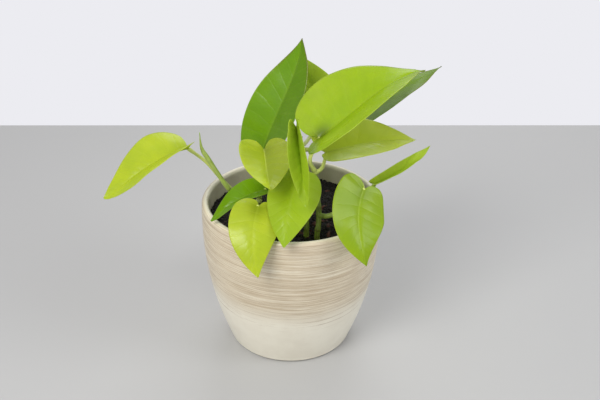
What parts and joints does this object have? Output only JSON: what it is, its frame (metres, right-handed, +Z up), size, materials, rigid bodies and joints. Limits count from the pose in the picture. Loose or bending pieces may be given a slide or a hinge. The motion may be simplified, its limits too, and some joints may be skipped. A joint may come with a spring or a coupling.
{
  "type": "potted philodendron",
  "caption": "Young potted heart-leaf plant with lime-green leaves on arching stalks, growing from dark soil in a round tapered ceramic pot with a brushed beige glaze.",
  "frame": {"origin": "middle of the pot's flat underside", "axes": "+Z up along the pot's axis; the front, where the most leaves hang over the rim, faces -Y; +X is to the right seen from the front"},
  "size_m": [0.2474, 0.1546, 0.2352],
  "materials": {
    "pot_glaze": "satin glaze, brushed beige bands over cream",
    "potting_soil": "matte, crumbly",
    "stem_skin": "satin, with darker joints",
    "stalk_skin": "satin",
    "leaf_yellow": "satin",
    "leaf_lime": "satin",
    "leaf_green": "satin",
    "leaf_dark": "satin"
  },
  "bodies": {
    "root": {"blade_back": "leaf_lime", "blade_centre_crown": "leaf_yellow", "blade_centre_hanging": "leaf_lime", "blade_far_left": "leaf_yellow", "blade_front_left": "leaf_yellow", "blade_front_right": "leaf_lime", "blade_left_mid": "leaf_green", "blade_new_rolled": "leaf_lime", "blade_right_mid": "leaf_yellow", "blade_right_rear": "leaf_dark", "blade_right_upper": "leaf_lime", "blade_top": "leaf_green", "blade_young_folded": "leaf_lime", "new_leaf_spike": "stem_skin", "pot": "pot_glaze", "soil": "potting_soil", "stalk_back": "stalk_skin", "stalk_centre_crown": "stalk_skin", "stalk_centre_hanging": "stalk_skin", "stalk_far_left": "stalk_skin", "stalk_front_left": "stalk_skin", "stalk_front_right": "stalk_skin", "stalk_left_mid": "stalk_skin", "stalk_right_mid": "stalk_skin", "stalk_right_rear": "stalk_skin", "stalk_right_upper": "stalk_skin", "stalk_top": "stalk_skin", "stalk_young_folded": "stalk_skin", "stem_back": "stem_skin", "stem_centre": "stem_skin", "stem_far_left": "stem_skin", "stem_front_right": "stem_skin", "stem_left": "stem_skin", "stem_runner": "stem_skin"}
  },
  "joints": []
}
